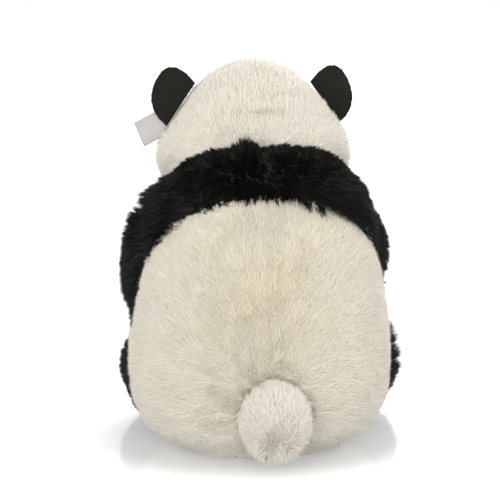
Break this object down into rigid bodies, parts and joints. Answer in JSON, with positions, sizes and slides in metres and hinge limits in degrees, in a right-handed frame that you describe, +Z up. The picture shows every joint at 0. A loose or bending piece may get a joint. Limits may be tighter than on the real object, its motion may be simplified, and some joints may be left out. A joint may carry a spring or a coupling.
{
  "type": "plush panda",
  "caption": "Seated plush panda with a bowed round head, cupped ears, hugging arms, splayed legs and a pompom tail, sewn from fur panels over fibre filling.",
  "frame": {"origin": "middle of the flat seat, where the toy stands", "axes": "+Z up, the face looks along -Y, +X is the toy's own left"},
  "size_m": [0.2848, 0.3301, 0.378],
  "materials": {
    "pale_fur": "long soft pile, cream white",
    "tail_fur": "loose long pile, white",
    "dark_fur": "soft glossy pile, black",
    "dark_suede": "short brushed suede cloth, black",
    "filling": "loose polyester fibre",
    "thread": "heavy waxed thread",
    "satin_ribbon": "plain satin ribbon",
    "dark_plastic": "polished, black",
    "washer_plastic": "moulded, white"
  },
  "bodies": {
    "torso": {"back_left": "pale_fur", "back_right": "pale_fur", "belly": "pale_fur", "base": "pale_fur", "yoke_back": "dark_fur", "yoke_front": "dark_fur", "torso_stuffing": "filling"},
    "neck": {"neck_stuffing": "filling", "neck_thread": "thread"},
    "head": {"head_back_left": "pale_fur", "head_back_right": "pale_fur", "face_left": "pale_fur", "face_right": "pale_fur", "eye_patch_left": "dark_fur", "eye_patch_right": "dark_fur", "muzzle": "pale_fur", "muzzle_stuffing": "filling", "nose": "dark_plastic", "nose_washer": "washer_plastic", "head_stuffing": "filling", "eye_left": "dark_plastic", "eye_right": "dark_plastic", "eye_washer_left": "washer_plastic", "eye_washer_right": "washer_plastic"},
    "ear_left": {"ear_left_back": "dark_suede", "ear_left_front": "dark_suede"},
    "ear_right": {"ear_right_back": "dark_suede", "ear_right_front": "dark_suede"},
    "label": {"label": "satin_ribbon"},
    "arm_left": {"arm_left_skin": "dark_fur", "arm_left_stuffing": "filling"},
    "arm_right": {"arm_right_skin": "dark_fur", "arm_right_stuffing": "filling"},
    "leg_left": {"leg_left_skin": "dark_fur", "leg_left_sole": "dark_fur", "leg_left_stuffing": "filling"},
    "leg_right": {"leg_right_skin": "dark_fur", "leg_right_sole": "dark_fur", "leg_right_stuffing": "filling"},
    "tail": {"tail_skin": "tail_fur", "tail_stuffing": "filling"}
  },
  "joints": [
    {"name": "neck_turn", "type": "hinge", "parent": "torso", "child": "neck", "pos_m": [0, -0.046, 0.286], "axis": [0, 0, 1], "range_deg": [-25, 25], "stiffness_Nm_per_rad": 0.4},
    {"name": "neck_nod", "type": "hinge", "parent": "neck", "child": "head", "pos_m": [0, -0.046, 0.286], "axis": [1, 0, 0], "range_deg": [-12, 8], "stiffness_Nm_per_rad": 0.6},
    {"name": "ear_left_fold", "type": "hinge", "parent": "head", "child": "ear_left", "pos_m": [0.07162, -0.05, 0.33423], "axis": [-0.5562, 0, 0.831], "range_deg": [-25, 15], "stiffness_Nm_per_rad": 0.01},
    {"name": "ear_right_fold", "type": "hinge", "parent": "head", "child": "ear_right", "pos_m": [-0.07162, -0.05, 0.33423], "axis": [-0.5562, 0, -0.831], "range_deg": [-25, 15], "stiffness_Nm_per_rad": 0.01},
    {"name": "label_flap", "type": "hinge", "parent": "ear_left", "child": "label", "pos_m": [0.08944, -0.0528, 0.30291], "axis": [-0.3028, 0, 0.9531], "range_deg": [-15, 10], "stiffness_Nm_per_rad": 0.002},
    {"name": "shoulder_left", "type": "hinge", "parent": "torso", "child": "arm_left", "pos_m": [0.09198, -0.01, 0.20382], "axis": [0, -1, 0], "range_deg": [0, 50], "stiffness_Nm_per_rad": 0.3},
    {"name": "shoulder_right", "type": "hinge", "parent": "torso", "child": "arm_right", "pos_m": [-0.09198, -0.01, 0.20382], "axis": [0, 1, 0], "range_deg": [0, 50], "stiffness_Nm_per_rad": 0.3},
    {"name": "hip_left", "type": "hinge", "parent": "torso", "child": "leg_left", "pos_m": [0.0756, -0.066, 0.047], "axis": [0, 0, 1], "range_deg": [-8, 8], "stiffness_Nm_per_rad": 0.4},
    {"name": "hip_right", "type": "hinge", "parent": "torso", "child": "leg_right", "pos_m": [-0.0756, -0.066, 0.047], "axis": [0, 0, -1], "range_deg": [-8, 8], "stiffness_Nm_per_rad": 0.4},
    {"name": "tail_lift", "type": "hinge", "parent": "torso", "child": "tail", "pos_m": [0, 0.123, 0.054], "axis": [1, 0, 0], "range_deg": [-15, 15], "stiffness_Nm_per_rad": 0.05}
  ]
}
